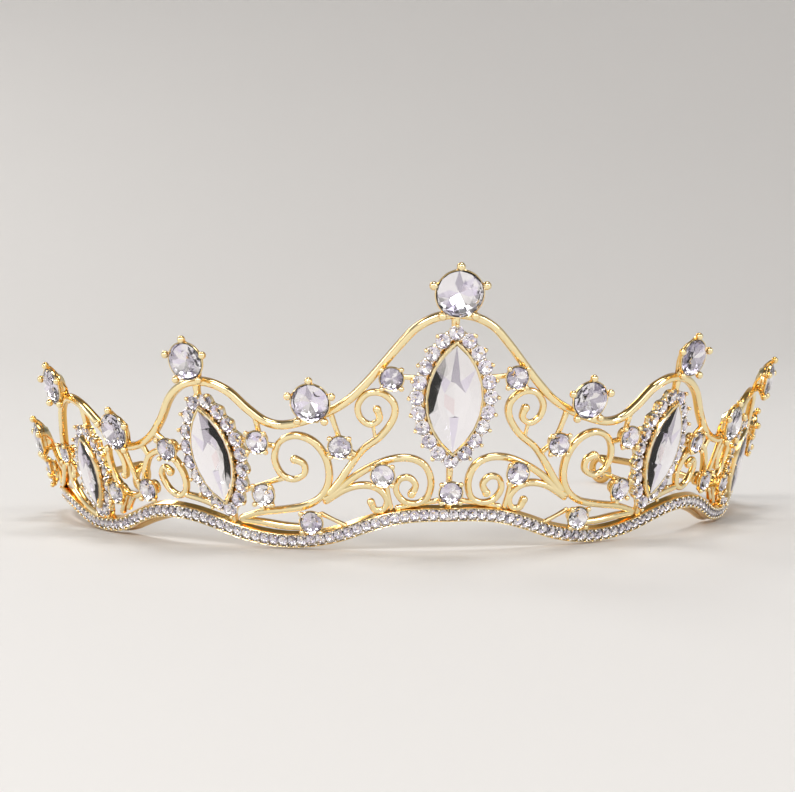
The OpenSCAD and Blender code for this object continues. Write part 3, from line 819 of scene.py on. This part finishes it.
def band_places(shift):
    """The places of the band stones, or with shift 0.5 those between them: angle, height, way."""
    half = sizes().band_height / 2
    line = [(a, h + half) for a, h, _ in smooth(BAND, 6)]
    walked = [0.0]
    for a, b in zip(line, line[1:]):
        walked.append(walked[-1] + (spot(*b) - spot(*a)).length)
    pitch = walked[-1] / (BAND_STONES + BAND_SLACK)
    places = []
    for k in range(BAND_STONES):
        goal = min((k + 0.5 + shift) * pitch, walked[-1])
        i = max(j for j in range(len(line) - 1) if walked[j] <= goal)
        part = (goal - walked[i]) / (walked[i + 1] - walked[i])
        a, b = line[i], line[i + 1]
        places.append((*between(a, b, part), (spot(*b) - spot(*a)).normalized()))
    return places


def band_seat(angle, height, way, out=0.0):
    """The axes of a band stone: along the band, across it, and out."""
    across = facing(angle).cross(way).normalized()
    out_way = way.cross(across)
    axes = Matrix((way, across, out_way)).transposed().to_4x4()
    return Matrix.Translation(spot(angle, height) + out_way * out) @ axes


# Operators


class DIADEM_OT_base_band(bpy.types.Operator):
    """Makes the wavy channel that carries the small stones, and the grains that hold them"""
    bl_idname = "diadem.base_band"
    bl_label = "Base band"

    def execute(self, context):
        size, finish = sizes(), finishes()
        half, back = size.band_height / 2, size.band_back
        lip, floor = half - CHANNEL_LIP, 0.0
        arc = [math.pi * i / 4 for i in range(5)]
        beads = [(RIM_BEAD * math.cos(t), BAND_SEAT + 2 * RIM_BEAD * math.sin(t)) for t in arc]
        section = [(lip + u, o) for u, o in beads]
        section += [(lip - RIM_BEAD, floor), (RIM_BEAD - lip, floor)]
        section += [(u - lip, o) for u, o in beads]
        section += [(-half, 0.35 - back), (CORNER - half, -back), (half - CORNER, -back),
                    (half, 0.35 - back)]
        rows = both_sides([(a, h + half, share) for a, h, share in smooth(BAND, size.steps)])
        band = Casting()
        band.run(rows, section, ends=(False, False))
        channel = range(len(beads) - 1, len(beads) + 2)
        for i in range((len(rows) - 1) * len(section)):
            if i % len(section) in channel:
                band.slots[i] = 1
        make_piece("base_band", band, finish.two)
        grains = Casting()
        for angle, height, way in band_places(0.5):
            here = band_seat(angle, height, way)
            for up in (GRAIN_UP, -GRAIN_UP):
                grain = Casting()
                grain.wire([Vector((0, up, 0)), Vector((0, up, 0.62))],
                           [size.grain * 1.1, size.grain], 8, slot=1)
                grains.add(grain, here)
        make_piece("band_grains", grains.pair(), finish.two)
        return {"FINISHED"}


class DIADEM_OT_rail(bpy.types.Operator):
    """Makes the top rail and the stems that tie it to the pointed ovals"""
    bl_idname = "diadem.rail"
    bl_label = "Top rail"

    def execute(self, context):
        size, finish = sizes(), finishes()
        rail = Casting()
        rail.run(both_sides(smooth(RAIL, size.steps)), wire_section(11), size.rail_radius)
        make_piece("top_rail", rail, finish.gold)
        stems = Casting()
        for angle, low, high, radius in STEMS:
            stem = Casting()
            wide, waist = 0.85 * radius, 0.7 * radius
            stem.run([(angle, low, wide), (angle, (low + high) / 2, waist),
                      (angle, high, wide)], wire_section(9), out_by=-0.5)
            stems.add(stem.pair() if angle else stem)
        make_piece("stems", stems, finish.gold)
        brace = Casting()
        brace.run(smooth(BRACE, size.steps), round_section(10), out_by=-BRACE_IN)
        make_piece("braces", brace.pair(), finish.arm)
        return {"FINISHED"}


class DIADEM_OT_scrolls(bpy.types.Operator):
    """Makes the scrolls on both sides, and the short links between them and the settings"""
    bl_idname = "diadem.scrolls"
    bl_label = "Scrolls"

    def execute(self, context):
        size, finish = sizes(), finishes()
        scrolls = Casting()
        for rows in SCROLLS:
            scrolls.run(smooth(rows, size.steps), wire_section(11), size.scroll_radius)
            angle, height, share = rows[-1]
            scrolls.ball(spot(angle, height, 0.08), 1.12 * share * size.scroll_radius, 14)
        make_pair("scrolls", scrolls, finish.gold)
        links = Casting()
        for a0, h0, a1, h1, share in LINKS:
            middle = ((a0 + a1) / 2, (h0 + h1) / 2, 0.82 * share)
            links.run(smooth([(a0, h0, share), middle, (a1, h1, share)], 3), wire_section(9),
                      size.scroll_radius)
        for rows in LEAVES:
            links.run(smooth(rows, size.steps), wire_section(11), size.scroll_radius)
        make_piece("links", links.pair(), finish.gold)
        return {"FINISHED"}


class DIADEM_OT_halo_settings(bpy.types.Operator):
    """Makes the scalloped plates round the pointed ovals"""
    bl_idname = "diadem.halo_settings"
    bl_label = "Halo settings"

    def execute(self, context):
        size, finish = sizes(), finishes()
        for i, oval in enumerate(OVALS):
            plate = halo_setting(oval, size)
            if i == 0:
                make_piece("centre_halo_setting", plate, finish.two)
            else:
                make_pair(f"halo_setting_{i}", plate, finish.two)
        return {"FINISHED"}


class DIADEM_OT_crest_settings(bpy.types.Operator):
    """Makes the baskets of the crest stones, with five claws each"""
    bl_idname = "diadem.crest_settings"
    bl_label = "Crest settings"

    def execute(self, context):
        size, finish = sizes(), finishes()

        def basket(angle, height, diameter, drop, ball):
            cup = claw_setting(
                diameter / 2, CREST_SEAT, ball, claws=5, turn=90, foot=0.85, drop=drop,
                reach=0.5, rise=0.25)
            return Casting().add(cup, seat(angle, height))

        top = basket(0, TOP_ROW[0], size.top_stone, TOP_ROW[1], size.claw_ball * 1.1)
        make_piece("top_setting", top, finish.gold)
        cups = Casting()
        for angle, height, drop in CREST:
            cups.add(basket(angle, height, size.crest_stone, drop, size.claw_ball))
        make_pair("crest_settings", cups, finish.gold)
        return {"FINISHED"}


class DIADEM_OT_accent_settings(bpy.types.Operator):
    """Makes the cups of the accent stones, with four claws each"""
    bl_idname = "diadem.accent_settings"
    bl_label = "Accent settings"

    def execute(self, context):
        size, finish = sizes(), finishes()
        cup = claw_setting(
            size.accent_stone / 2, ACCENT_SEAT, size.accent_ball, claws=4, turn=45, foot=1.3,
            drop=0, reach=0.2, rise=0.35)
        cups = Casting()
        for angle, height in ACCENTS:
            cups.add(cup, seat(angle, height))
        cups.pair().add(cup, seat(0, CENTRE_ACCENT))
        make_piece("accent_settings", cups, finish.gold)
        return {"FINISHED"}


class DIADEM_OT_head_arms(bpy.types.Operator):
    """Makes the strips behind the band, their end wires and the loops"""
    bl_idname = "diadem.head_arms"
    bl_label = "Head arms"

    def execute(self, context):
        size, finish = sizes(), finishes()
        outer = RING - size.band_back + 0.05
        line = outer - size.arm_thickness / 2
        wire_depth = RING_DEPTH * line * math.cos(math.radians(ARM.wire_end))
        lift = 2 * size.loop_radius + size.wire_radius + wire_depth * math.tan(ARM.tilt)
        place = Matrix.Translation((0, RING_BACK, lift)) @ Matrix.Rotation(ARM.tilt, 4, "X")

        def on_ring(angle):
            a = math.radians(angle)
            return Vector((line * math.sin(a), -RING_DEPTH * line * math.cos(a), 0))

        def way_at(angle):
            return (on_ring(angle + 0.5) - on_ring(angle - 0.5)).normalized()

        arm = Casting()
        tall, thick = size.arm_height / 2, size.arm_thickness / 2
        edge = 0.22
        rings = []
        for angle in range(ARM.start, ARM.end + 1):
            at, out = on_ring(angle), way_at(angle).cross(UP)
            near_end = min(1.0, (ARM.end - angle) / 6)
            near_start = min(1.0, (angle - ARM.start) / 3)
            high = tall * (0.55 + 0.45 * near_end) * (0.75 + 0.25 * near_start)
            section = [(high, -0.5 * thick), (high, 0.5 * thick), (high - edge, thick),
                       (edge - high, thick), (-high, 0.5 * thick), (-high, -0.5 * thick),
                       (edge - high, -thick), (high - edge, -thick)]
            rings.append([at + UP * u + out * o for u, o in section])
        arm.skin(rings)
        end, way = on_ring(ARM.wire_end), way_at(ARM.wire_end)
        inward = Vector((-end.x, -end.y, 0)).normalized()
        points = [on_ring(ARM.wire_start + k) for k in range(ARM.wire_end - ARM.wire_start)]
        middle = end - UP * size.loop_radius
        steps, step, aside = 30, 11.4, 1.1
        for k in range(steps + 1):
            t = math.radians(step * k)
            points.append(middle + size.loop_radius * (way * math.sin(t) + UP * math.cos(t))
                          + inward * (aside * (k / steps) ** 2))
        arm.wire(points, [size.wire_radius] * len(points), 14)
        arm = Casting().add(arm, place)
        for node, casting in (("left", arm.mirrored()), ("right", arm)):
            make_piece(node + "_head_arm", casting, finish.arm, [node + "_arm"])
        return {"FINISHED"}


class DIADEM_OT_oval_stones(bpy.types.Operator):
    """Cuts the five pointed ovals"""
    bl_idname = "diadem.oval_stones"
    bl_label = "Pointed ovals"

    def execute(self, context):
        for i, (angle, height, w, l, tilt, *_) in enumerate(OVALS):
            crown, depth = SIDE_CUT if i else CENTRE_CUT
            for side in ("left", "right") if i else ("centre",):
                shades = random.Random(f"{side} oval {i}")
                cut = cut_stone(
                    pointed(w, l), crown, OVAL_GIRDLE, depth, OVAL_TABLE, 0.55, shades,
                    OVAL_PAINTED_REFLECTIONS)
                stone = Casting().add(cut, seat(angle, height, OVAL_SEAT, tilt))
                node = f"{side}_oval_{i}" if i else "centre_oval"
                make_stones(node, stone)
        return {"FINISHED"}


class DIADEM_OT_round_stones(bpy.types.Operator):
    """Cuts the top stone, the crest stones and the accent stones"""
    bl_idname = "diadem.round_stones"
    bl_label = "Round stones"

    def execute(self, context):
        size = sizes()
        rows = [("top_stone", 0, TOP_ROW[0], size.top_stone, CREST_SEAT),
                ("centre_accent", 0, CENTRE_ACCENT, size.accent_stone, ACCENT_SEAT)]
        for side in ("left", "right"):
            rows += [(f"{side}_crest_{i}", a, h, size.crest_stone, CREST_SEAT)
                     for i, (a, h, _) in enumerate(CREST, 1)]
            rows += [(f"{side}_accent_{i}", a, h, size.accent_stone, ACCENT_SEAT)
                     for i, (a, h) in enumerate(ACCENTS, 1)]
        for node, angle, height, diameter, out in rows:
            shades = random.Random(node)
            cut = brilliant(diameter, size.table_share, ROUND_DEPTH, shades)
            turn = Matrix.Rotation(shades.uniform(0, math.pi / 4), 4, "Z")
            make_stones(node, Casting().add(cut, seat(angle, height, out) @ turn))
        return {"FINISHED"}


class DIADEM_OT_small_stones(bpy.types.Operator):
    """Cuts the halo stones and the band stones"""
    bl_idname = "diadem.small_stones"
    bl_label = "Small stones"

    def execute(self, context):
        size = sizes()
        for i, oval in enumerate(OVALS):
            for side in ("left", "right") if i else ("centre",):
                node = f"{side}_halo_{i}" if i else "centre_halo"
                shades = random.Random(node)
                stones = Casting()
                for p, _ in halo_places(oval, oval[6]):
                    cut = brilliant(size.halo_stone, size.table_share, SMALL_DEPTH, shades)
                    lift = Vector((0, 0, HALO_SEAT))
                    turn = Matrix.Rotation(shades.uniform(0, math.pi / 4), 4, "Z")
                    stones.add(cut, seat(oval[0], oval[1], 0, oval[4])
                               @ Matrix.Translation(p + lift) @ turn)
                make_stones(node, stones)
        for node in ("left_band_stones", "right_band_stones"):
            shades = random.Random(node)
            stones = Casting()
            for angle, height, way in band_places(0):
                cut = brilliant(size.band_stone, size.table_share, SMALL_DEPTH, shades)
                turn = Matrix.Rotation(shades.uniform(0, math.pi / 4), 4, "Z")
                stones.add(cut, band_seat(angle, height, way, BAND_SEAT) @ turn)
            make_stones(node, stones)
        return {"FINISHED"}


class DIADEM_OT_stage(bpy.types.Operator):
    """Makes the pale floor with its round surround, the soft lights and the camera"""
    bl_idname = "diadem.stage"
    bl_label = "Stage"

    def execute(self, context):
        scene = context.scene
        scene.view_settings.view_transform = "Standard"
        self.floor()
        self.lights(scene)
        self.camera(scene)
        return {"FINISHED"}

    def floor(self):
        bowl = Casting()
        flat, curve, top = 600.0, 1050.0, 1700.0
        profile = [(0.0, 0.0), (200.0, 0.0), (400.0, 0.0)]  # rows: radius, height
        profile += [(flat + curve * math.sin(t), curve - curve * math.cos(t))
                    for t in (math.pi / 2 * i / 16 for i in range(17))]
        profile.append((flat + curve, top))
        rings = [ring_line(r, 96, 0, z) if r else [Vector((0, 0, 0))] for r, z in profile]
        bowl.skin(rings, ends=(False, False))
        mesh = bpy.data.meshes.new("floor")
        mesh.from_pydata([p * MM for p in bowl.points], [], [f[::-1] for f in bowl.faces])
        mesh.polygons.foreach_set("use_smooth", [True] * len(mesh.polygons))
        mesh.materials.append(floor_finish("pale_floor", colours().floor))
        add_object("floor", mesh)

    def lights(self, scene):
        # rows: name, place, width, height, power, colour
        rows = [
            ("key", (-0.55, -0.9, 0.85), 0.45, 0.32, 6.5, (1.0, 0.98, 0.95)),
            ("fill", (0.85, -0.65, 0.55), 0.12, 0.6, 2.2, (0.96, 0.97, 1.0)),
            ("front", (0.25, -1.15, 0.9), 0.9, 0.5, 3.2, (1.0, 1.0, 1.0)),
            ("top", (0.1, 0.1, 1.2), 0.5, 0.35, 4.2, (1.0, 1.0, 1.0)),
            ("back", (-0.5, 0.95, 0.75), 0.5, 0.3, 3.6, (1.0, 0.99, 0.97)),
            ("side", (-0.95, -0.1, 0.4), 0.1, 0.5, 1.5, (1.0, 0.97, 0.93)),
        ]
        aim = Vector((0, 0, 0.02))
        for name, place, wide, high, power, shade in rows:
            lamp = bpy.data.lights.new(name, "AREA")
            lamp.shape, lamp.size, lamp.size_y = "RECTANGLE", wide, high
            lamp.energy, lamp.color = power, shade
            light = add_object(name, lamp)
            light.location = place
            light.rotation_euler = (aim - light.location).to_track_quat("-Z", "Y").to_euler()
        world = bpy.data.worlds.new("studio")
        world.use_nodes = True
        background = world.node_tree.nodes["Background"]
        background.inputs["Color"].default_value = (0.75, 0.77, 0.8, 1)
        background.inputs["Strength"].default_value = 0.2
        scene.world = world

    def camera(self, scene):
        azimuth, elevation, distance = math.radians(-8), math.radians(4), 0.41
        lens = bpy.data.cameras.new("camera")
        lens.lens, lens.sensor_width = 94, 36
        lens.clip_start, lens.clip_end = 0.01, 20
        camera = add_object("camera", lens)
        target = Vector((0, RING_BACK * MM, 0.022))
        back = Vector((math.sin(azimuth) * math.cos(elevation),
                       -math.cos(azimuth) * math.cos(elevation), math.sin(elevation)))
        camera.location = target + back * distance
        camera.rotation_euler = (-back).to_track_quat("-Z", "Y").to_euler()
        scene.camera = camera


OPERATORS = (
    DIADEM_OT_stage, DIADEM_OT_base_band, DIADEM_OT_rail, DIADEM_OT_scrolls,
    DIADEM_OT_halo_settings, DIADEM_OT_crest_settings, DIADEM_OT_accent_settings,
    DIADEM_OT_head_arms, DIADEM_OT_oval_stones, DIADEM_OT_round_stones, DIADEM_OT_small_stones,
)


class DIADEM_PT_panel(bpy.types.Panel):
    """Lists the pieces of the diadem"""
    bl_label = "Diadem"
    bl_idname = "DIADEM_PT_panel"
    bl_space_type = "VIEW_3D"
    bl_region_type = "UI"
    bl_category = "Diadem"

    def draw(self, context):
        for operator in OPERATORS:
            self.layout.operator(operator.bl_idname)
        for group in (context.scene.diadem_sizes, context.scene.diadem_colours):
            box = self.layout.box()
            for name in type(group).__annotations__:
                box.prop(group, name)


CLASSES = (DiademSizes, DiademColours, *OPERATORS, DIADEM_PT_panel)


def register():
    for item in CLASSES:
        bpy.utils.register_class(item)
    bpy.types.Scene.diadem_sizes = PointerProperty(type=DiademSizes)
    bpy.types.Scene.diadem_colours = PointerProperty(type=DiademColours)


def unregister():
    del bpy.types.Scene.diadem_colours
    del bpy.types.Scene.diadem_sizes
    for item in reversed(CLASSES):
        bpy.utils.unregister_class(item)


def main():
    register()
    for operator in OPERATORS:
        getattr(bpy.ops.diadem, operator.bl_idname.split(".")[1])()
    bpy.context.view_layer.update()


if __name__ == "__main__":
    main()
